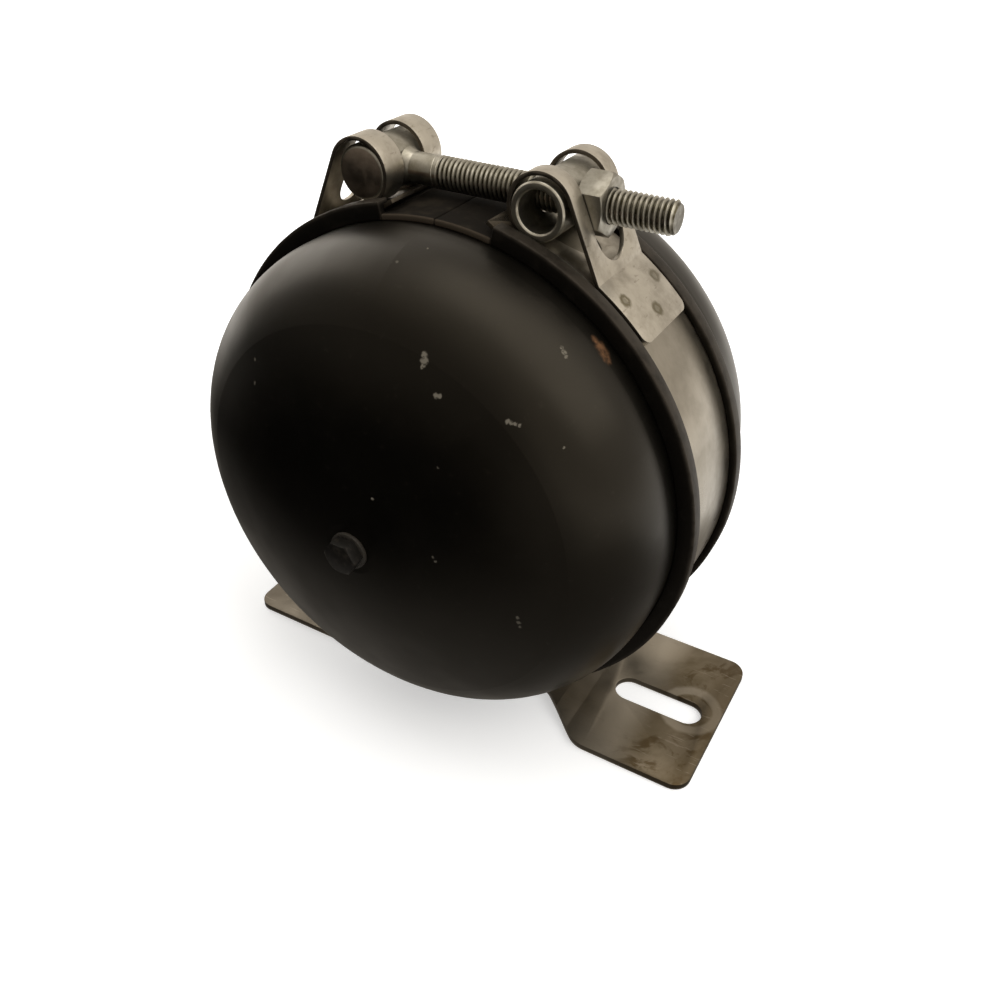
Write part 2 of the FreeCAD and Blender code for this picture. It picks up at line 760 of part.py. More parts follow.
def chamfered_rod(half_length, radius, chamfer, bore=None):
    """Half section of a turned rod or tube, with its end edges broken."""
    inside = bore or "0"
    section = [
        corner(minus(half_length), f"{inside} + {chamfer}" if bore else inside),
        corner(minus(half_length), f"{radius} - {chamfer}"),
        corner(f"{chamfer} - ({half_length})", radius),
        corner(f"{half_length} - {chamfer}", radius),
        corner(half_length, f"{radius} - {chamfer}"),
        corner(half_length, f"{inside} + {chamfer}" if bore else inside),
    ]
    if bore:
        section += [corner(f"{half_length} - {chamfer}", inside),
                    corner(f"{chamfer} - ({half_length})", inside)]
    return section


def t_bolt():
    """Threaded rod with a cross head, which lies in the left loop."""
    body = new_body("t_bolt", "-bracket_offset - trunnion_reach", "0", CLOSURE_HEIGHT)
    revolve(body, "cross_head", "YZ_Plane",
            chamfered_rod("head_length / 2", "trunnion_radius", "trunnion_chamfer"))
    length = "trunnion_reach + bolt_reach"
    radius = "bolt_diameter / 2"
    revolve(body, "shank", "XZ_Plane", [
        corner("0", "0"),
        corner(length, "0"),
        corner(length, f"{radius} - bolt_chamfer"),
        corner(f"{length} - bolt_chamfer", radius),
        corner("0", radius),
    ])
    return body


def trunnion_barrel():
    """Tube in the right loop, drilled across for the bolt and spot-faced for the nut."""
    body = new_body("trunnion_barrel", "trunnion_reach - bracket_offset", "0", CLOSURE_HEIGHT)
    chamfer = "trunnion_chamfer / 2"
    revolve(body, "tube", "YZ_Plane",
            chamfered_rod("barrel_length / 2", "trunnion_radius", chamfer, "barrel_bore / 2"))
    radius = "bolt_diameter / 2 + bolt_clearance"
    cut_through(body, "bolt_hole", "YZ_Plane", [
        arc_to("0", radius, radius, ("0", "0"), True),
        arc_to("0", minus(radius), radius, ("0", "0"), True),
    ], both_sides=True)
    half = "nut_flats / 2 + spot_margin"
    cut_through(body, "nut_seat", "YZ_Plane", rectangle(
        minus(half), half, "-trunnion_radius", "trunnion_radius"),
        offset="trunnion_radius - spot_face")
    return body


def hex_nut():
    """Hexagon nut that draws the barrel towards the bolt's head."""
    seat = "trunnion_reach - bracket_offset + trunnion_radius - spot_face"
    turned = new_body("hex_nut_blank", seat, "0", CLOSURE_HEIGHT)
    bore = "bolt_diameter / 2 + thread_fit"
    face = "nut_flats / 2"
    corner_radius = "nut_flats / sqrt(3)"
    chamfer = "(nut_flats / sqrt(3) - nut_flats / 2) / sqrt(3)"
    revolve(turned, "nut_turned", "XZ_Plane", [
        corner("0", bore),
        corner("nut_height", bore),
        corner("nut_height", face),
        corner(f"nut_height - {chamfer}", corner_radius),
        corner(chamfer, corner_radius),
        corner("0", face),
    ])
    return hexagonal("hex_nut", turned, "nut_flats", "nut_height", (seat, "0", CLOSURE_HEIGHT),
                     Rotation(Vector(0, 1, 0), 90))


# Bracket foot

def mounting_bracket():
    """Pressed plate: two slotted feet, a narrow neck and a raised middle welded to the band."""
    section = new_body("bracket_section")
    end = "bracket_length / 2"
    inner = "step_start"
    outer = "step_start + step_run"
    under = [(minus(end), "0"), (minus(outer), "0"), (minus(inner), "plate_step"),
             (inner, "plate_step"), (outer, "0"), (end, "0")]
    over = [(across, f"{up} + plate_thickness") for across, up in reversed(under)]
    bends = [None, "step_blend", "step_blend", "step_blend", "step_blend", None]
    strip = [corner(across, up, blend) for (across, up), blend in zip(under + over, bends * 2)]
    pad(section, "stepped_plate", "XZ_Plane", [strip], "bracket_width")

    plan = new_body("bracket_plan")
    pad_corner = "bracket_length / 2 - pad_length"
    neck_corner = "bracket_length / 2 - pad_length - neck_run"
    wide = "bracket_width / 2"
    narrow = "neck_width / 2"
    right_side = [(neck_corner, narrow, "neck_blend"), (pad_corner, wide, "neck_blend"),
                  (end, wide, "pad_corner")]
    left_side = [(minus(across), up, blend) for across, up, blend in reversed(right_side)]
    back = left_side + right_side
    front = [(across, minus(up), blend) for across, up, blend in reversed(back)]
    edge = [corner(*item) for item in back + front]
    slot_run = "(slot_length - slot_width) / 2"
    slots = [obround(f"{side}slot_spacing / 2", slot_run, "slot_width / 2") for side in ("", "-")]
    pad(plan, "plan_shape", "XY_Plane", [edge] + slots, "4 * (plate_thickness + plate_step)")

    bracket = doc.addObject("Part::Common", "mounting_bracket")
    bracket.Label = "mounting_bracket"
    bracket.Base = section
    bracket.Tool = plan
    return bracket


def check_document():
    """Stops if a feature failed or a sketch can't be solved."""
    for item in doc.Objects:
        if "Invalid" in item.State or "Error" in item.State:
            raise SystemExit(f"{item.Name} failed: {item.State}")


def export(pieces):
    os.makedirs("parts", exist_ok=True)
    for piece in pieces:
        if piece.Shape.isNull() or not piece.Shape.isValid():
            raise SystemExit(f"{piece.Label} has no valid shape")
        piece.Shape.exportStep(f"parts/{piece.Label}.step")
        print(piece.Label, "solids", len(piece.Shape.Solids), "volume", round(piece.Shape.Volume, 1))


fill_sheet()
leg_numbers()
pieces = [
    gas_shell(), fluid_shell(), charging_screw(), charging_screw_seal(), fluid_port(),
    diaphragm_ring(), diaphragm(), closing_button(),
    rubber_liner(), clamp_band(), right_loop_strap(), left_loop_strap(),
    t_bolt(), trunnion_barrel(), hex_nut(), mounting_bracket(),
]
doc.recompute()
check_document()
export(pieces)
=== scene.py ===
from math import cos, pi, radians, sin

import bpy
from mathutils import Euler, Matrix, Vector


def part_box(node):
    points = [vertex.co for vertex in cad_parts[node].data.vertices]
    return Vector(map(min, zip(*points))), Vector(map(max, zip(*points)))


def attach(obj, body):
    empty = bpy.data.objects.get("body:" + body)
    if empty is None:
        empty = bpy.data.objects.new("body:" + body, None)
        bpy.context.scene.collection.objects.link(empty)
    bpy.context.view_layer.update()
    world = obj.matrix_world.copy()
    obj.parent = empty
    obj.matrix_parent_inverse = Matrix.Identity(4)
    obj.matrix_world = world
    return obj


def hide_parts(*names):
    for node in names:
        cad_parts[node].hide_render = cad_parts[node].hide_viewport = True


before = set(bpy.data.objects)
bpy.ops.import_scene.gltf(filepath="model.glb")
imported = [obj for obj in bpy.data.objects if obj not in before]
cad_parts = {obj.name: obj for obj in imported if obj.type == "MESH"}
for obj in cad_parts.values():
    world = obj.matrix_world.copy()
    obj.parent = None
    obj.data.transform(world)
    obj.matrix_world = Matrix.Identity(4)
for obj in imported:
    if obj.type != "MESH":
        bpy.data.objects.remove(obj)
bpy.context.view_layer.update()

# Vessel. Two deep-drawn steel shells, welded together and sprayed black. The paint is semi-gloss with
# a fine orange peel, dusty in places, chipped to bare metal, and rust has come through beside the clamp.

clamp_ahead = 0.002
low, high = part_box("gas_shell")
vessel_middle = Vector(((low.x + high.x) / 2, clamp_ahead, (low.z + high.z) / 2))


def painted(name, color, roughness, metallic=0.0, gloss=0.5):
    """A new material with its constant colour, roughness, metal and gloss on the shader's own sockets."""
    made = bpy.data.materials.new(name)
    made.use_nodes = True
    shader = made.node_tree.nodes["Principled BSDF"]
    shader.inputs["Base Color"].default_value = (*color, 1)
    shader.inputs["Roughness"].default_value = roughness
    shader.inputs["Metallic"].default_value = metallic
    shader.inputs["Specular IOR Level"].default_value = gloss
    return made, made.node_tree, shader


def node(tree, kind, inputs=(), **settings):
    """Adds a shader node, sets its properties, and fills or links its inputs."""
    made = tree.nodes.new("ShaderNode" + kind)
    for key, setting in settings.items():
        setattr(made, key, setting)
    for socket, given in dict(inputs).items():
        if isinstance(given, bpy.types.NodeSocket):
            tree.links.new(given, made.inputs[socket])
        else:
            made.inputs[socket].default_value = given
    return made


def surface_place(tree):
    return node(tree, "TexCoord").outputs["Object"]


def millimetres_from(tree, place, middle):
    """The place seen from this middle, in millimetres."""
    moved = node(tree, "VectorMath", {0: place, 1: middle}, operation="SUBTRACT").outputs[0]
    return node(tree, "VectorMath", {0: moved, "Scale": 1000}, operation="SCALE").outputs[0]


def grain(tree, place, size, detail=2.0, stretch=(1, 1, 1), distortion=0.0):
    """Noise from 0 to 1 with spots of about this size, in metres."""
    mapped = node(tree, "Mapping", {"Vector": place, "Scale": stretch}).outputs[0]
    noise = node(tree, "TexNoise", {"Vector": mapped, "Scale": 1 / size, "Detail": detail,
                                    "Roughness": 0.6, "Distortion": distortion})
    return noise.outputs[0]


def between(tree, source, low, high, start=0.0, end=1.0):
    """Maps low..high of a value smoothly to start..end."""
    return node(tree, "MapRange", {"Value": source, "From Min": low, "From Max": high,
                                   "To Min": start, "To Max": end},
                interpolation_type="SMOOTHSTEP").outputs[0]


def calculate(tree, operation, first, second=0.0):
    return node(tree, "Math", {0: first, 1: second}, operation=operation).outputs[0]


def mixed(tree, share, first, second):
    """Mixes two colours by a share. A colour is three numbers or a socket."""
    first, second = [c if isinstance(c, bpy.types.NodeSocket) else (*c, 1) for c in (first, second)]
    return node(tree, "Mix", {0: share, 6: first, 7: second}, data_type="RGBA").outputs[2]


def bumped(tree, shader, height, distance, strength=1.0, below=None):
    made = node(tree, "Bump", {"Height": height, "Distance": distance, "Strength": strength})
    if below is not None:
        tree.links.new(below, made.inputs["Normal"])
    tree.links.new(made.outputs[0], shader.inputs["Normal"])
    return made.outputs[0]


def spots(tree, place, centres, soft):
    """1 inside any of the round spots, each given as x, y, z and radius, in the place's own unit."""
    inside = None
    for x, y, z, radius in centres:
        away = node(tree, "VectorMath", {0: place, 1: (x, y, z)}, operation="DISTANCE").outputs["Value"]
        here = between(tree, away, radius, radius * (1 - soft))
        inside = here if inside is None else calculate(tree, "MAXIMUM", inside, here)
    return inside


def wandering(tree, place, size, reach):
    """The same place, pushed about by noise, so that a round spot gets a ragged edge."""
    noise = node(tree, "TexNoise", {"Vector": place, "Scale": 1 / size, "Detail": 1.0}).outputs["Color"]
    push = node(tree, "VectorMath", {0: noise, 1: (0.5, 0.5, 0.5)}, operation="SUBTRACT").outputs[0]
    push = node(tree, "VectorMath", {0: push, "Scale": reach}, operation="SCALE").outputs[0]
    return node(tree, "VectorMath", {0: place, 1: push}, operation="ADD").outputs[0]


black_paint, tree, shader = painted("black_vessel_paint", (0.003, 0.0026, 0.0022), 0.36, gloss=0.25)
shader.inputs["Specular Tint"].default_value = (1.0, 0.90, 0.73, 1)
place = surface_place(tree)
from_middle = millimetres_from(tree, place, vessel_middle)
ragged = wandering(tree, from_middle, 0.9, 0.8)
dust = between(tree, grain(tree, place, 0.035, 3), 0.42, 0.75, 0.0, 0.5)
color = mixed(tree, dust, (0.0007, 0.0006, 0.0005), (0.0032, 0.0027, 0.0021))
specks = between(tree, grain(tree, place, 0.0022, 4), 0.62, 0.78, 0.0, 0.35)
color = mixed(tree, specks, color, (0.016, 0.014, 0.011))
rust = spots(tree, ragged, [
    (43.9, -22.4, 51.3, 1.6), (45.3, -22.5, 50.1, 2.3), (46.4, -22.8, 49.0, 2.3),
    (47.2, -23.3, 48.0, 1.9)], 0.9)
rust = calculate(tree, "MULTIPLY", rust, between(tree, grain(tree, place, 0.0016, 3), 0.3, 0.62, 0.25, 1.0))
color = mixed(tree, rust, color, (0.120, 0.058, 0.027))
chips = spots(tree, ragged, [
    (15.4, -47.1, 51.1, 0.95), (15.7, -47.6, 50.0, 1.15), (15.6, -48.1, 48.9, 0.85),
    (19.8, -49.7, 43.6, 0.80), (20.5, -49.5, 43.6, 0.70),
    (35.8, -46.7, 40.7, 0.68), (36.6, -46.5, 40.4, 0.68), (37.5, -46.2, 40.3, 0.58),
    (38.4, -45.9, 40.1, 0.48), (40.3, -31.7, 52.7, 0.60), (41.1, -32.0, 51.9, 0.82),
    (41.8, -32.4, 51.2, 0.56), (47.4, -42.8, 35.8, 0.42), (5.2, -29.5, 66.7, 0.40),
    (7.1, -58.1, 16.8, 0.46)], 0.5)
chips = calculate(tree, "MULTIPLY", chips, between(tree, grain(tree, place, 0.0010, 2), 0.38, 0.52, 0.3, 1.0))
dull_chips = spots(tree, ragged, [
    (42.2, -51.6, -8.6, 0.56), (42.4, -51.4, -10.1, 0.70), (42.7, -51.1, -11.6, 0.52),
    (22.7, -57.2, 5.5, 0.50), (23.2, -57.2, 4.5, 0.50), (22.5, -53.9, 28.5, 0.40),
    (-32.6, -48.8, 37.7, 0.56), (-32.0, -50.7, 32.3, 0.56), (1.2, -35.6, 64.8, 0.46)], 0.6)
bare = calculate(tree, "MAXIMUM", calculate(tree, "MULTIPLY", chips, 0.65),
                 calculate(tree, "MULTIPLY", dull_chips, 0.3))
color = mixed(tree, bare, color, (0.20, 0.185, 0.155))
tree.links.new(color, shader.inputs["Base Color"])
rough = calculate(tree, "ADD", between(tree, grain(tree, place, 0.02, 2), 0.3, 0.7, 0.33, 0.41),
                  calculate(tree, "MULTIPLY", calculate(tree, "MAXIMUM", rust, chips), 0.3))
tree.links.new(rough, shader.inputs["Roughness"])
peel = calculate(tree, "MULTIPLY", grain(tree, place, 0.0012, 1), 0.03)
drawn = calculate(tree, "ADD", grain(tree, place, 0.030, 0), peel)
bumped(tree, shader, drawn, 0.0003, 0.6)
for name in ("gas_shell", "fluid_shell"):
    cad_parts[name].material_slots[0].material = black_paint

# Charging screw. A small hexagon-head screw turned from steel, screwed in over a flat washer and
# sprayed with the vessel. A spanner has worn its paint.


def rounded(cad_node, name, width, finish, segments=2):
    """The CAD node's own shape as a new piece, with its sharp edges rounded as a tool leaves them."""
    piece = bpy.data.objects.new(name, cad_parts[cad_node].data.copy())
    bpy.context.collection.objects.link(piece)
    bpy.ops.object.select_all(action="DESELECT")
    piece.select_set(True)
    bpy.context.view_layer.objects.active = piece
    bpy.ops.mesh.customdata_custom_splitnormals_clear()
    bpy.ops.object.mode_set(mode="EDIT")
    bpy.ops.mesh.select_all(action="SELECT")
    bpy.ops.mesh.remove_doubles(threshold=1e-6)
    bpy.ops.mesh.dissolve_limited(angle_limit=radians(0.2))
    bpy.ops.object.mode_set(mode="OBJECT")
    return finished(piece, cad_node, width, finish, segments)


def finished(piece, cad_node, width, finish, segments=2, angle=30):
    """Rounds the piece's edges, gives it its finish, and puts it in the CAD node's stead."""
    edges = piece.modifiers.new("edges", "BEVEL")
    edges.width = width
    edges.segments = segments
    edges.limit_method = "ANGLE"
    edges.angle_limit = radians(angle)
    bpy.ops.object.modifier_apply(modifier="edges")
    bpy.ops.object.shade_smooth_by_angle(angle=radians(30))
    piece.data.materials.clear()
    piece.data.materials.append(finish)
    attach(piece, "root")
    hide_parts(cad_node)
    return piece


low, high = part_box("charging_screw_seal")
screw_seat = Vector(((low.x + high.x) / 2, low.y, (low.z + high.z) / 2))


def resized(piece, across, deep):
    """Scales the piece from its seat, across and along the screw's axis, to its size in the photo."""
    to_seat = Matrix.Translation(screw_seat)
    piece.data.transform(to_seat @ Matrix.Diagonal((across, deep, across, 1)) @ to_seat.inverted())


worn_paint, tree, shader = painted("worn_screw_paint", (0.010, 0.0088, 0.0072), 0.42, gloss=0.3)
place = surface_place(tree)
worn = between(tree, grain(tree, place, 0.0018, 3), 0.5, 0.68, 0.0, 0.7)
tree.links.new(mixed(tree, worn, (0.0046, 0.0040, 0.0033), (0.016, 0.013, 0.010)),
               shader.inputs["Base Color"])
bumped(tree, shader, grain(tree, place, 0.0009, 2), 0.00004, 0.6)
resized(rounded("charging_screw", "hexagon_screw", 0.0005, worn_paint, 3),
        across=0.8, deep=0.875)

washer_rubber, tree, shader = painted("washer_rubber", (0.012, 0.011, 0.010), 0.55, gloss=0.3)
place = surface_place(tree)
tree.links.new(mixed(tree, grain(tree, place, 0.0015), (0.012, 0.011, 0.010), (0.038, 0.033, 0.026)),
               shader.inputs["Base Color"])
bumped(tree, shader, grain(tree, place, 0.0005, 2), 0.00003, 0.6)
resized(rounded("charging_screw_seal", "screw_washer", 0.00015, washer_rubber),
        across=0.83, deep=1)

# Fluid port. An adapter turned from hexagon bar and bored for the hose fitting, welded into the back
# shell and sprayed with it.

rounded("fluid_port", "port_adapter", 0.0004, black_paint)

# Inside the vessel. A turned steel ring holds the bead of a moulded rubber diaphragm across the weld,
# and a turned button riveted in the diaphragm covers the port's mouth.

turned_steel, tree, shader = painted("turned_steel", (0.45, 0.44, 0.42), 0.3, 1.0)
place = surface_place(tree)
lines = grain(tree, place, 0.004, 4, (1, 18, 1))
tree.links.new(mixed(tree, lines, (0.38, 0.37, 0.35), (0.52, 0.51, 0.49)), shader.inputs["Base Color"])
tree.links.new(between(tree, lines, 0.3, 0.7, 0.24, 0.4), shader.inputs["Roughness"])
bumped(tree, shader, lines, 0.00003, 0.4)
for name in ("diaphragm_ring", "closing_button"):
    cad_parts[name].material_slots[0].material = turned_steel

moulded_rubber, tree, shader = painted("moulded_rubber", (0.016, 0.016, 0.016), 0.62)
place = surface_place(tree)
tree.links.new(mixed(tree, grain(tree, place, 0.006, 4), (0.012, 0.012, 0.012), (0.03, 0.029, 0.028)),
               shader.inputs["Base Color"])
bumped(tree, shader, grain(tree, place, 0.0007, 2), 0.00004, 0.5)
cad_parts["diaphragm"].material_slots[0].material = moulded_rubber

# Liner. An extruded black rubber channel laid round the vessel, whose lips hold the band's edges.
# The lips are cut away at the top, and only the thin base goes on there, butted together.

low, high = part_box("clamp_band")
clamp_middle = Vector((low.x + high.x, low.y + high.y, 2 * low.z + high.x - low.x)) / 2
low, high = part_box("rubber_liner")
liner_half = (high.y - low.y) / 2
lip_outer = clamp_middle.z - low.z
lip_height = 0.002
lip_side = 0.002
lip_reach = 0.002
band_thickness = 0.001
base_thickness = 0.0015
lip_gap = radians(12.6)
butt_gap = radians(0.08)


def swept(name, steps, start, sweep):
    """A profile drawn by its steps across and out from the liner's inside corner, swept round the clamp."""
    inner = lip_outer - lip_height - band_thickness - base_thickness
    bpy.ops.object.select_all(action="DESELECT")
    bpy.ops.mesh.primitive_plane_add(size=0.0001, location=clamp_middle)
    piece = bpy.context.object
    piece.name = name
    bpy.ops.object.transform_apply(location=True, rotation=True, scale=True)
    bpy.ops.object.mode_set(mode="EDIT")
    bpy.ops.mesh.merge(type="CENTER")
    bpy.ops.transform.translate(value=(0, -liner_half, inner))
    for across, out in steps:
        bpy.ops.mesh.extrude_region_move(TRANSFORM_OT_translate={"value": (0, across, out)})
    bpy.ops.mesh.select_all(action="SELECT")
    bpy.ops.mesh.remove_doubles(threshold=1e-6)
    bpy.ops.mesh.edge_face_add()
    bpy.ops.object.mode_set(mode="OBJECT")
    turned = Matrix.Translation(clamp_middle) @ Matrix.Rotation(start, 4, "Y")
    piece.data.transform(turned @ Matrix.Translation(-clamp_middle))
    bpy.ops.object.mode_set(mode="EDIT")
    bpy.ops.mesh.select_all(action="SELECT")
    bpy.ops.mesh.spin(steps=max(6, round(sweep / radians(2))), angle=-sweep,
                      center=clamp_middle, axis=(0, 1, 0))
    bpy.ops.mesh.select_all(action="SELECT")
    bpy.ops.mesh.remove_doubles(threshold=1e-6)
    bpy.ops.mesh.select_all(action="DESELECT")
    bpy.ops.mesh.select_non_manifold(extend=False, use_wire=False, use_boundary=True,
                                     use_multi_face=False, use_non_contiguous=False, use_verts=False)
    bpy.ops.mesh.edge_face_add()
    bpy.ops.mesh.select_all(action="SELECT")
    bpy.ops.mesh.normals_make_consistent(inside=False)
    bpy.ops.object.mode_set(mode="OBJECT")
    return piece


side_height = base_thickness + band_thickness + lip_height
hook = lip_side + lip_reach
channel_steps = [
    (2 * liner_half, 0), (0, side_height), (-hook, 0), (0, -lip_height), (lip_reach, 0), (0, -band_thickness),
    (2 * lip_side - 2 * liner_half, 0), (0, band_thickness), (lip_reach, 0), (0, lip_height), (-hook, 0),
    (0, -side_height)]
base_steps = [(2 * liner_half, 0), (0, base_thickness), (-2 * liner_half, 0), (0, -base_thickness)]
right_base = swept("right_base", base_steps, butt_gap, lip_gap - butt_gap)
left_base = swept("left_base", base_steps, -lip_gap, lip_gap - butt_gap)
liner = swept("rubber_channel", channel_steps, lip_gap, 2 * pi - 2 * lip_gap)
right_base.select_set(True)
left_base.select_set(True)
bpy.ops.object.join()

liner_rubber, tree, shader = painted("liner_rubber", (0.005, 0.0044, 0.0037), 0.5, gloss=0.14)
shader.inputs["Specular Tint"].default_value = (1.0, 0.88, 0.75, 1)
place = surface_place(tree)
from_middle = millimetres_from(tree, place, clamp_middle)
apart = node(tree, "SeparateXYZ", {0: from_middle})
in_gap = between(tree, calculate(tree, "ABSOLUTE", apart.outputs["X"]), 15.4, 14.6)
at_top = between(tree, apart.outputs["Z"], 64.0, 65.5)
in_gap = calculate(tree, "MULTIPLY", in_gap, at_top)
smeared = calculate(tree, "MULTIPLY", in_gap, between(tree, grain(tree, place, 0.006, 3), 0.45, 0.7))
# Painted highlight: a light brown line along the base's front edge in the gap, where its rounded edge catches
# light.
painted_edge_highlight = calculate(tree, "MULTIPLY", in_gap, between(tree, apart.outputs["Y"], -16.2, -16.8))
scuffed = between(tree, grain(tree, place, 0.007, 3), 0.5, 0.72, 0.0, 0.6)
color = mixed(tree, scuffed, (0.0018, 0.0016, 0.0013), (0.008, 0.007, 0.0056))
upright = node(tree, "VectorMath", {0: from_middle, 1: (1, 0, 1)}, operation="MULTIPLY").outputs[0]
from_axis = node(tree, "VectorMath", {0: upright}, operation="LENGTH").outputs["Value"]
# Painted sheen: the outer rim of each lip is painted lighter grey, with a little noise, in place of the gloss
# it shows there.
painted_lip_sheen = calculate(tree, "MULTIPLY", between(tree, from_axis, 70.9, 71.9),
                   between(tree, grain(tree, place, 0.004, 3), 0.3, 0.6, 0.4, 1.0))
color = mixed(tree, painted_lip_sheen, color, (0.024, 0.0205, 0.0165))
color = mixed(tree, in_gap, color, (0.0016, 0.0013, 0.0010))
color = mixed(tree, calculate(tree, "MULTIPLY", smeared, 0.5), color, (0.020, 0.0165, 0.012))
color = mixed(tree, calculate(tree, "MULTIPLY", painted_edge_highlight, 0.7), color, (0.055, 0.044, 0.033))
tree.links.new(color, shader.inputs["Base Color"])
tree.links.new(between(tree, in_gap, 0, 1, 0.5, 0.85), shader.inputs["Roughness"])
bumped(tree, shader, grain(tree, place, 0.0008, 2), 0.00005, 0.6)
finished(liner, "rubber_liner", 0.0004, liner_rubber, 3, 40)

# Band. A strip of stainless steel rolled round the liner, with its two ends turned up at the gap.
# It has the rolling mill's satin grain along it, and grime where the rubber lips touch it.

band_radius = 0.07


def round_the_clamp(tree, place):
    """The angle round the clamp from the top, and the distance across it in metres."""
    apart = node(tree, "SeparateXYZ", {0: node(tree, "VectorMath", {0: place, 1: clamp_middle},
                                               operation="SUBTRACT").outputs[0]})
    return calculate(tree, "ARCTAN2", apart.outputs["X"], apart.outputs["Z"]), apart.outputs["Y"]


def rolled_grain(tree, angle, across, size, stretch):
    """Noise in lines that run round the clamp."""
    along = calculate(tree, "MULTIPLY", angle, band_radius / stretch)
    laid = node(tree, "CombineXYZ", {"X": along, "Y": across})
    return grain(tree, laid.outputs[0], size, 3)


band_steel, tree, shader = painted("satin_band_steel", (0.34, 0.30, 0.23), 0.34, 1.0)
place = surface_place(tree)
angle, across = round_the_clamp(tree, place)
mill = rolled_grain(tree, angle, across, 0.0005, 30)
cloudy = grain(tree, place, 0.012, 4)
side = calculate(tree, "ABSOLUTE", across)
grime = calculate(tree, "MULTIPLY", between(tree, side, 0.0105, 0.0135),
                  between(tree, grain(tree, place, 0.003, 3), 0.35, 0.65, 0.2, 0.85))
color = mixed(tree, between(tree, cloudy, 0.35, 0.7), (0.262, 0.242, 0.206), (0.190, 0.173, 0.142))
color = mixed(tree, between(tree, mill, 0.4, 0.75, 0.0, 0.35), color, (0.23, 0.205, 0.16))
color = mixed(tree, grime, color, (0.060, 0.048, 0.035))
across_lip = calculate(tree, "ADD", across, 0.0125)
beside_tab = calculate(tree, "MULTIPLY", between(tree, across_lip, 0.0009, 0.0002),
                       between(tree, across_lip, -0.0012, -0.0006))
turned_away = calculate(tree, "ABSOLUTE", angle)
along_tab = calculate(tree, "MULTIPLY", between(tree, turned_away, 0.57, 0.60),
                      between(tree, turned_away, 0.84, 0.78))
rust_line = calculate(tree, "MULTIPLY", beside_tab, along_tab)
color = mixed(tree, calculate(tree, "MULTIPLY", rust_line, 0.85), color, (0.075, 0.036, 0.014))
# Painted shade: the band's tail in the gap, under the bolt, is painted darker, for the shadow of the bolt's
# head on it.
tail_painted_shade = between(tree, turned_away, 0.275, 0.235, 0.0, 0.85)
color = mixed(tree, tail_painted_shade, color, (0.040, 0.033, 0.024))
tree.links.new(color, shader.inputs["Base Color"])
tree.links.new(calculate(tree, "ADD", between(tree, cloudy, 0.3, 0.7, 0.27, 0.4),
                         calculate(tree, "MULTIPLY", grime, 0.3)), shader.inputs["Roughness"])
bumped(tree, shader, mill, 0.00002, 0.5, bumped(tree, shader, grain(tree, place, 0.02, 1), 0.0003, 0.35))
rounded("clamp_band", "rolled_band", 0.00015, band_steel)

# Loops. Two stainless strips with a window for the bolt, each folded round its cross piece and
# spot-welded to the band through both legs. The welds show as brown rings, and the cut edges are dark.


def facing_along(tree, axis):
    """How squarely the surface faces either way along an axis, from 0 to 1."""
    outward = node(tree, "NewGeometry").outputs["True Normal"]
    return calculate(tree, "ABSOLUTE", node(tree, "SeparateXYZ", {0: outward}).outputs[axis])


loop_steel, tree, shader = painted("loop_steel", (0.33, 0.29, 0.24), 0.36, 1.0)
place = surface_place(tree)
from_middle = millimetres_from(tree, place, clamp_middle)
cloudy = grain(tree, place, 0.006, 4)
cut_edge = between(tree, facing_along(tree, "Y"), 0.93, 0.985)
color = mixed(tree, between(tree, cloudy, 0.35, 0.7), (0.405, 0.378, 0.326), (0.275, 0.252, 0.212))
color = mixed(tree, calculate(tree, "MULTIPLY", cut_edge, 0.8), color, (0.075, 0.060, 0.044))
ragged = wandering(tree, from_middle, 1.0, 0.9)
weld_from_axis = 72.0
weld_ring_radius = 2.3
weld_dent_radius = 1.1
welds = [(side * weld_from_axis * sin(radians(turn)), y, weld_from_axis * cos(radians(turn)))
         for side in (1, -1) for turn, y in ((38.8, 9.0), (38.8, -8.0), (43.7, 0.6))]
ring = spots(tree, ragged, [(*weld, weld_ring_radius) for weld in welds], 0.45)
dent = spots(tree, ragged, [(*weld, weld_dent_radius) for weld in welds], 0.5)
stain = calculate(tree, "SUBTRACT", ring, calculate(tree, "MULTIPLY", dent, 0.3))
color = mixed(tree, calculate(tree, "MULTIPLY", stain, 0.85), color, (0.090, 0.076, 0.040))
scuffs = between(tree, grain(tree, place, 0.0012, 3, (1, 0.35, 1)), 0.60, 0.70, 0.0, 0.45)
color = mixed(tree, scuffs, color, (0.17, 0.145, 0.115))
tree.links.new(color, shader.inputs["Base Color"])
tree.links.new(between(tree, cloudy, 0.3, 0.7, 0.30, 0.44), shader.inputs["Roughness"])
worked = bumped(tree, shader, grain(tree, place, 0.005, 2), 0.00012, 0.5)
bumped(tree, shader, calculate(tree, "SUBTRACT", 0.0, dent), 0.00012, 0.5, worked)
rounded("left_loop_strap", "left_loop", 0.00016, loop_steel)
rounded("right_loop_strap", "right_loop", 0.00016, loop_steel)

# Bolt. A zinc-plated rod with a round cross head, cold-formed in one piece, whose M8 thread is rolled
# on to a slightly thinner shank. Dirt has darkened the thread's roots.

low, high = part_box("t_bolt")
bolt_height = (low.z + high.z) / 2
head_radius = (high.z - low.z) / 2
head_length = high.y - low.y
head_x = low.x + head_radius
tip_x = high.x
thread_start_x = head_x + 0.0142
thread_pitch = 0.00125
thread_rise = 0.4 / 1.5
thread_sunk = 0.0001
crest_radius = 0.004
root_radius = 0.00335
shank_radius = 0.0038
flare_radius = 0.0047
flare_length = 0.0022
flare_sunk = 0.0004
rim_width = 0.0009
tip_chamfer = 0.0008

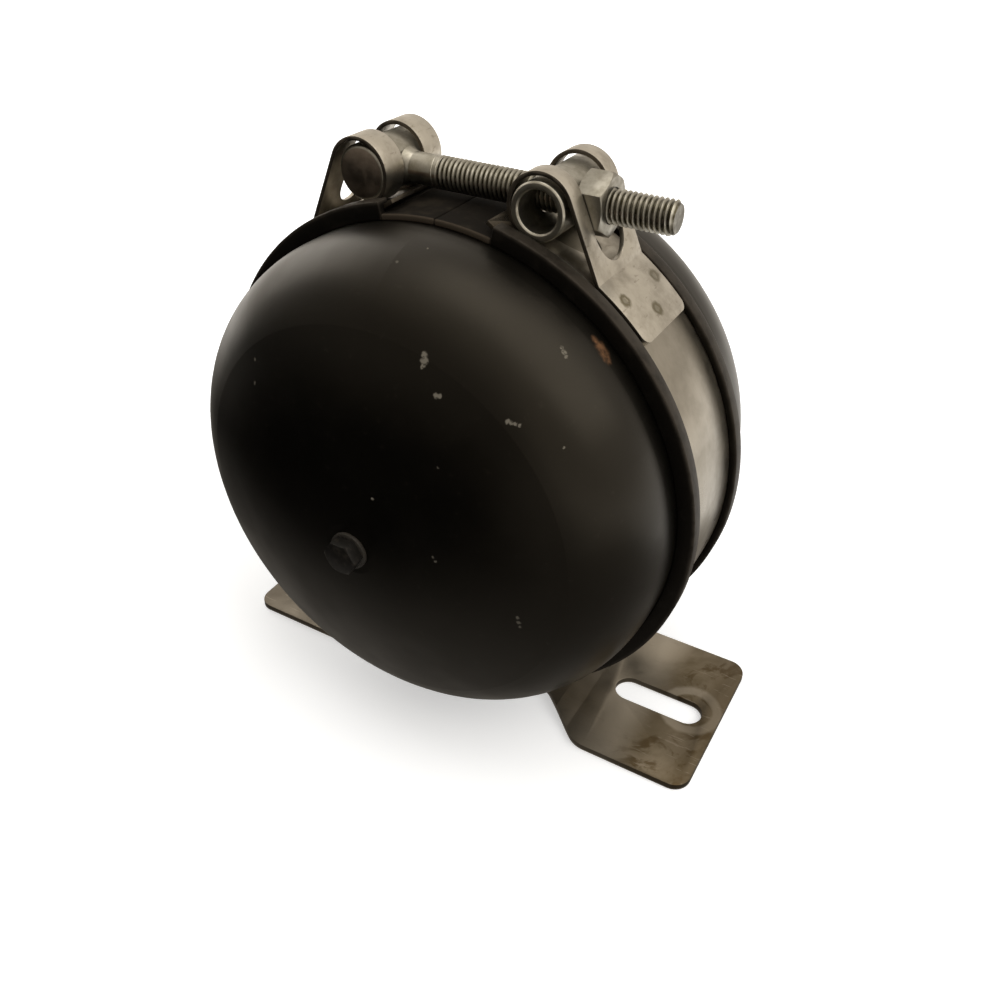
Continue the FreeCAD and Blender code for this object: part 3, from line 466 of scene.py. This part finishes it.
bpy.ops.object.select_all(action="DESELECT")
bpy.ops.mesh.primitive_cylinder_add(vertices=128, radius=head_radius, depth=head_length,
                                    location=(head_x, 0, bolt_height), rotation=(pi / 2, 0, 0))
bolt = bpy.context.object
bolt.name = "threaded_bolt"
bpy.ops.object.transform_apply(location=True, rotation=True, scale=True)
rim = bolt.modifiers.new("rim", "BEVEL")
rim.width = rim_width
rim.segments = 3
rim.profile = 0.4
rim.limit_method = "ANGLE"
bpy.ops.object.modifier_apply(modifier="rim")

shank_end_x = thread_start_x + 2 * thread_pitch
bpy.ops.mesh.primitive_cylinder_add(vertices=96, radius=shank_radius, depth=shank_end_x - head_x,
                                    location=((head_x + shank_end_x) / 2, 0, bolt_height),
                                    rotation=(0, pi / 2, 0))
shank = bpy.context.object
bpy.ops.object.transform_apply(location=True, rotation=True, scale=True)

flare_x = head_x + head_radius - flare_sunk + flare_length / 2
bpy.ops.mesh.primitive_cone_add(vertices=96, radius1=flare_radius, radius2=shank_radius, depth=flare_length,
                                location=(flare_x, 0, bolt_height), rotation=(0, pi / 2, 0))
flare = bpy.context.object
bpy.ops.object.transform_apply(location=True, rotation=True, scale=True)

turns = int((tip_x - thread_start_x) / thread_pitch) + 2
bpy.ops.mesh.primitive_plane_add(size=0.0001, location=(thread_start_x, 0, bolt_height))
thread = bpy.context.object
bpy.ops.object.mode_set(mode="EDIT")
bpy.ops.mesh.merge(type="CENTER")
bpy.ops.transform.translate(value=(0, 0, root_radius))
flank = 0.36 * thread_pitch
crest = 0.14 * thread_pitch
depth = crest_radius - root_radius
for step in ((flank, depth), (crest, 0), (flank, -depth), (crest, 0)):
    bpy.ops.mesh.extrude_region_move(TRANSFORM_OT_translate={"value": (step[0], 0, step[1])})
bpy.ops.object.mode_set(mode="OBJECT")
helix = thread.modifiers.new("helix", "SCREW")
helix.axis = "X"
helix.angle = 2 * pi
helix.screw_offset = thread_pitch
helix.iterations = turns
helix.steps = 48
helix.render_steps = 48
helix.use_merge_vertices = True
helix.merge_threshold = 1e-6
bpy.ops.object.modifier_apply(modifier="helix")
bpy.ops.object.transform_apply(location=True, rotation=True, scale=True)
for vertex in thread.data.vertices:
    x = min(vertex.co.x, tip_x)
    from_axis = Vector((vertex.co.y, vertex.co.z - bolt_height))
    limit = min(crest_radius, crest_radius - tip_chamfer + (tip_x - x),
                shank_radius - thread_sunk + thread_rise * (x - thread_start_x))
    if from_axis.length > limit:
        from_axis *= limit / from_axis.length
    vertex.co = (x, from_axis.x, bolt_height + from_axis.y)
bpy.ops.object.mode_set(mode="EDIT")
bpy.ops.mesh.select_all(action="SELECT")
bpy.ops.mesh.remove_doubles(threshold=1e-6)
bpy.ops.mesh.select_all(action="DESELECT")
bpy.ops.mesh.select_non_manifold(extend=False, use_wire=False, use_boundary=True,
                                 use_multi_face=False, use_non_contiguous=False, use_verts=False)
bpy.ops.mesh.fill()
bpy.ops.mesh.select_all(action="SELECT")
bpy.ops.mesh.normals_make_consistent(inside=False)
bpy.ops.object.mode_set(mode="OBJECT")

bpy.ops.object.select_all(action="DESELECT")
for part in (thread, shank, flare, bolt):
    part.select_set(True)
bpy.context.view_layer.objects.active = bolt
bpy.ops.object.join()
bpy.ops.object.shade_smooth_by_angle(angle=radians(32))


def plated(name, dirt_depth, shade=1.0):
    """Zinc plate, grey with a faint yellow-green tint. With a dirt_depth, dirt lies nearer to the bolt's
    axis than that, and on the ends of its head."""
    made, tree, shader = painted(name, (0.34, 0.325, 0.26), 0.36, 1.0)
    place = surface_place(tree)
    cloudy = grain(tree, place, 0.003, 4)
    fresh = [shade * part for part in (0.315, 0.302, 0.262)]
    dull = [shade * part for part in (0.215, 0.202, 0.166)]
    color = mixed(tree, between(tree, cloudy, 0.35, 0.68), fresh, dull)
    if dirt_depth:
        flat = node(tree, "VectorMath", {0: place, 1: (0, 1, 1)}, operation="MULTIPLY").outputs[0]
        from_axis = node(tree, "VectorMath", {0: flat, 1: (0, 0, bolt_height)},
                         operation="DISTANCE").outputs["Value"]
        dirt = between(tree, from_axis, dirt_depth, dirt_depth - 0.0004)
        threaded = between(tree, node(tree, "SeparateXYZ", {0: place}).outputs["X"],
                           thread_start_x - 0.0002, thread_start_x + 0.0006)
        dirt = calculate(tree, "MULTIPLY", calculate(tree, "MULTIPLY", dirt, threaded),
                         between(tree, grain(tree, place, 0.002, 2), 0.25, 0.6, 0.5, 1.0))
        color = mixed(tree, dirt, color, (0.045, 0.039, 0.023))
        head_end = between(tree, facing_along(tree, "Y"), 0.985, 0.998)
        grimy = mixed(tree, grain(tree, place, 0.0022, 4), (0.140, 0.110, 0.084), (0.330, 0.275, 0.225))
        color = mixed(tree, calculate(tree, "MULTIPLY", head_end, 0.95), color, grimy)
    tree.links.new(color, shader.inputs["Base Color"])
    tree.links.new(between(tree, cloudy, 0.3, 0.7, 0.30, 0.44), shader.inputs["Roughness"])
    bumped(tree, shader, grain(tree, place, 0.0012, 2), 0.00004, 0.5)
    return made


bolt.data.materials.clear()
bolt.data.materials.append(plated("zinc_plated_bolt", 0.0038))
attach(bolt, "root")
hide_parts("t_bolt")

# Barrel and nut. A piece of zinc-plated tube, drilled across for the bolt and milled flat for a
# hexagon nut, which draws the two loops together.

zinc_plated_parts = plated("zinc_plated_parts", 0)
rounded("trunnion_barrel", "loop_barrel", 0.00035, zinc_plated_parts)
# The nut takes the same zinc plate in a darker copy.
rounded("hex_nut", "clamp_nut", 0.0003, plated("darker_zinc_nut", 0, 0.78))

# Bracket. A pressed steel plate with two slotted feet, a narrow neck and a raised middle welded to the
# band. Oil and dirt have stained it brown, and a washer has left its ring round the slot.

plate_steel, tree, shader = painted("stained_plate_steel", (0.13, 0.11, 0.08), 0.44, 1.0)
place = surface_place(tree)
cloudy = grain(tree, place, 0.018, 4, distortion=0.6)
color = mixed(tree, between(tree, cloudy, 0.35, 0.68), (0.175, 0.148, 0.108), (0.105, 0.084, 0.052))
stained = between(tree, grain(tree, place, 0.011, 4, distortion=1.2), 0.50, 0.64, 0.0, 0.80)
color = mixed(tree, stained, color, (0.062, 0.042, 0.019))
washer_middle = (0.0668, 0.0012, 0.002)
from_washer = node(tree, "VectorMath", {0: wandering(tree, place, 0.003, 0.0008), 1: washer_middle},
                   operation="DISTANCE").outputs["Value"]
ring = calculate(tree, "MULTIPLY", between(tree, from_washer, 0.0058, 0.0068),
                 between(tree, from_washer, 0.0100, 0.0086))
color = mixed(tree, calculate(tree, "MULTIPLY", ring, 0.7), color, (0.30, 0.27, 0.22))
across_feet = node(tree, "SeparateXYZ", {0: place}).outputs["X"]
# Painted light: everything left of the right foot's neck is painted much lighter, to stand for the light on
# the neck, which lies in the vessel's shadow.
painted_neck_light = between(tree, across_feet, 0.060, 0.050)
color = mixed(tree, calculate(tree, "MULTIPLY", painted_neck_light, 0.75), color, (0.34, 0.31, 0.26))
# The outer ends of the feet are made darker brown, and the left foot darker grey.
outer_end = between(tree, calculate(tree, "ABSOLUTE", across_feet), 0.062, 0.074)
color = mixed(tree, calculate(tree, "MULTIPLY", outer_end, 0.5), color, (0.060, 0.044, 0.024))
left_foot = between(tree, across_feet, -0.045, -0.055, 0.0, 0.7)
color = mixed(tree, left_foot, color, (0.060, 0.052, 0.042))
scratches = between(tree, grain(tree, place, 0.0008, 2, (0.12, 1, 1)), 0.64, 0.70, 0.0, 0.4)
color = mixed(tree, scratches, color, (0.25, 0.22, 0.18))
cut_edge = between(tree, facing_along(tree, "Z"), 0.5, 0.2, 0.0, 0.7)
color = mixed(tree, cut_edge, color, (0.050, 0.041, 0.030))
tree.links.new(color, shader.inputs["Base Color"])
tree.links.new(between(tree, cloudy, 0.3, 0.7, 0.36, 0.52), shader.inputs["Roughness"])
worked = bumped(tree, shader, grain(tree, place, 0.014, 2), 0.0003, 0.4)
bumped(tree, shader, grain(tree, place, 0.0009, 2), 0.00004, 0.5, worked)
rounded("mounting_bracket", "foot_bracket", 0.0003, plate_steel)

# Studio. A pale paper floor, soft lamps at the left, at the right and above, and a dark card in
# front, low down, which keeps the middle of the black paint dark. Only reflections see the card.


def shines_for(tree):
    """1 for rays that show the background: camera rays, and rays mirrored or let through."""
    path = node(tree, "LightPath")
    shown = calculate(tree, "MAXIMUM", path.outputs["Is Glossy Ray"], path.outputs["Is Transmission Ray"])
    return calculate(tree, "MAXIMUM", shown, path.outputs["Is Camera Ray"])


def shown_white(tree):
    """White to the camera, and warm white in the metal and the paint."""
    seen = node(tree, "LightPath").outputs["Is Camera Ray"]
    return mixed(tree, seen, (1.0, 0.91, 0.79), (1, 1, 1))


floor_size = 12
floor_drop = 0.0002
bpy.ops.mesh.primitive_plane_add(size=floor_size, location=(0, 0, -floor_drop))
floor = bpy.context.object
floor.name = "floor"
floor_paper, tree, shader = painted("floor_paper", (0.82, 0.86, 0.92), 0.9, gloss=0.0)
away = node(tree, "VectorMath", {0: surface_place(tree)}, operation="LENGTH").outputs["Value"]
lifted = calculate(tree, "MULTIPLY", shines_for(tree), between(tree, away, 0.1, 0.7, 0.45, 1.0))
lift = node(tree, "Emission", {"Color": shown_white(tree), "Strength": lifted})
summed = node(tree, "AddShader", {0: shader.outputs[0], 1: lift.outputs[0]})
tree.links.new(summed.outputs[0], tree.nodes["Material Output"].inputs["Surface"])
floor.data.materials.append(floor_paper)

card_turn = radians(-28)
card_away = 0.25
card_width = 0.8
card_height = 0.45
card_foot = 0.38
foot_rise = 0.0004
card_across = Vector((cos(card_turn), sin(card_turn), 0))
card_ahead = Vector((sin(card_turn), -cos(card_turn), 0))
bpy.ops.object.select_all(action="DESELECT")
bpy.ops.mesh.primitive_plane_add(size=1, location=card_ahead * card_away + Vector((0, 0, card_height / 2)),
                                 rotation=(pi / 2, 0, card_turn))
wall = bpy.context.object
wall.scale = (card_width, card_height, 1)
bpy.ops.object.transform_apply(location=True, rotation=True, scale=True)
foot_middle = card_ahead * (card_away - card_foot / 2) + Vector((0, 0, foot_rise))
bpy.ops.mesh.primitive_plane_add(size=1, location=foot_middle, rotation=(0, 0, card_turn))
card = bpy.context.object
card.name = "dark_card"
card.scale = (card_width, card_foot, 1)
bpy.ops.object.transform_apply(location=True, rotation=True, scale=True)
wall.select_set(True)
bpy.ops.object.join()
card_tone, tree, shader = painted("card_tone", (0, 0, 0), 1.0, gloss=0.0)
place = surface_place(tree)
height = node(tree, "SeparateXYZ", {0: place}).outputs["Z"]
across = node(tree, "VectorMath", {0: place, 1: card_across}, operation="DOT_PRODUCT").outputs["Value"]
ahead = node(tree, "VectorMath", {0: place, 1: card_ahead}, operation="DOT_PRODUCT").outputs["Value"]
upward = calculate(tree, "ADD", between(tree, height, 0.10, 0.19, 0.01, 0.45),
                   between(tree, height, 0.26, 0.44, 0, 0.5))
sideways = calculate(tree, "MAXIMUM", between(tree, across, 0.17, 0.39, 0.01, 0.9),
                     between(tree, across, -0.2, -0.4, 0.01, 0.6))
outward = between(tree, ahead, 0.16, 0.06, 0.01, 0.30)
tone = calculate(tree, "MAXIMUM", calculate(tree, "MAXIMUM", upward, sideways), outward)
glow = node(tree, "Emission", {"Color": (1.0, 0.91, 0.79, 1), "Strength": tone})
tree.links.new(glow.outputs[0], tree.nodes["Material Output"].inputs["Surface"])
card.data.materials.append(card_tone)
card.visible_camera = False
card.visible_diffuse = False
card.visible_shadow = False
card.visible_transmission = False

lamp_aim = Vector((0, 0, 0.08))
lamp_color = (1.0, 0.955, 0.885)


def soft_lamp(name, place, size, power):
    """A square lamp at this place, turned towards the vessel."""
    bpy.ops.object.light_add(type="AREA", location=place)
    lamp = bpy.context.object
    lamp.name = name
    lamp.data.shape = "SQUARE"
    lamp.data.size = size
    lamp.data.energy = power
    lamp.data.color = lamp_color
    lamp.rotation_euler = (lamp_aim - Vector(place)).to_track_quat("-Z", "Y").to_euler()


soft_lamp("left_lamp", (-0.84, 0.22, 0.58), 0.7, 2.6)
soft_lamp("right_lamp", (0.67, 0.0, 0.82), 0.9, 5.4)
soft_lamp("top_lamp", (0, 0, 1.08), 0.6, 3.0)

room = bpy.data.worlds.new("room")
bpy.context.scene.world = room
room.use_nodes = True
tree = room.node_tree
ground = tree.nodes["Background"]
tree.links.new(shown_white(tree), ground.inputs["Color"])
tree.links.new(between(tree, shines_for(tree), 0, 1, 0.5, 1.0), ground.inputs["Strength"])

scene = bpy.context.scene
scene.view_settings.view_transform = "Standard"

azimuth, elevation, roll = radians(29.47), radians(35.93), radians(0.84)
camera_place = (0.11337, -0.19784, 0.22008)
turn = Euler((pi / 2 - elevation, 0, azimuth)).to_matrix() @ Matrix.Rotation(roll, 3, "Z")
bpy.ops.object.camera_add(location=camera_place, rotation=turn.to_euler())
camera = bpy.context.object
camera.name = "photo_camera"
camera.data.sensor_width = 36
camera.data.lens = 34.82
camera.data.clip_start = 0.01
scene.camera = camera
